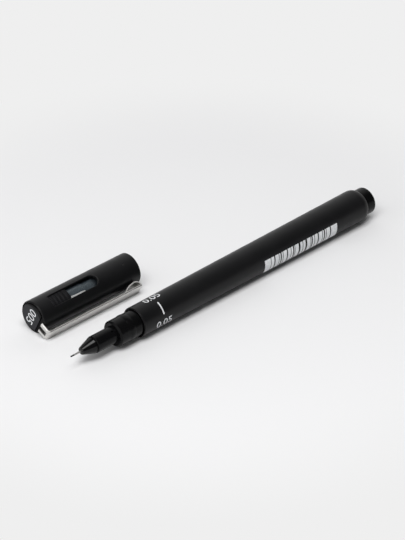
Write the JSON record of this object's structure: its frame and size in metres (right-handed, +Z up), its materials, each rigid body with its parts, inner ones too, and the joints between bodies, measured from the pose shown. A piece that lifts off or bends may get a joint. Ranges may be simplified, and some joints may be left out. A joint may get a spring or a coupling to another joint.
{
  "type": "fineliner pen",
  "caption": "Fineliner pen with a slim barrel, stepped collar and short tip cone, its windowed cap with a steel pocket clip taken off and lying beside it.",
  "frame": {"origin": "centre of the box of pen and cap together, at the height of the table they lie on", "axes": "+X along the pen from the nib to the tail, +Y from the pen to the cap beside it, +Z up"},
  "size_m": [0.1264, 0.0334, 0.0107],
  "materials": {
    "black_plastic": "fine matte moulding",
    "grey_plastic": "fine matte",
    "clear_plastic": "clear, polished",
    "clear_film": "thin film",
    "steel": "satin, rounded edges",
    "nib_fibre": "ink-stained",
    "ink_fibre": "bonded fibre with ink"
  },
  "bodies": {
    "pen": {"barrel": "black_plastic", "tail_plug": "black_plastic", "front_section": "black_plastic", "nib_cone": "black_plastic", "nib_pipe": "steel", "nib": "nib_fibre", "ink_feed": "ink_fibre", "ink_reservoir": "ink_fibre", "reservoir_wrap": "clear_film"},
    "cap": {"cap_shell": "black_plastic", "cap_end_plug": "black_plastic", "cap_badge": "grey_plastic", "inner_cap": "clear_plastic"},
    "clip": {"clip": "steel"}
  },
  "joints": [
    {"name": "cap_line_up", "type": "slide", "parent": "pen", "child": "cap", "axis": [-0.9533, -0.3019, 0], "range_m": [0, 0.07552]},
    {"name": "clip_flex", "type": "hinge", "parent": "cap", "child": "clip", "pos_m": [-0.05781, 0.008, 0.00342], "axis": [0, 0.4553, -0.8903], "range_deg": [0, 5], "stiffness_Nm_per_rad": 1.5}
  ]
}
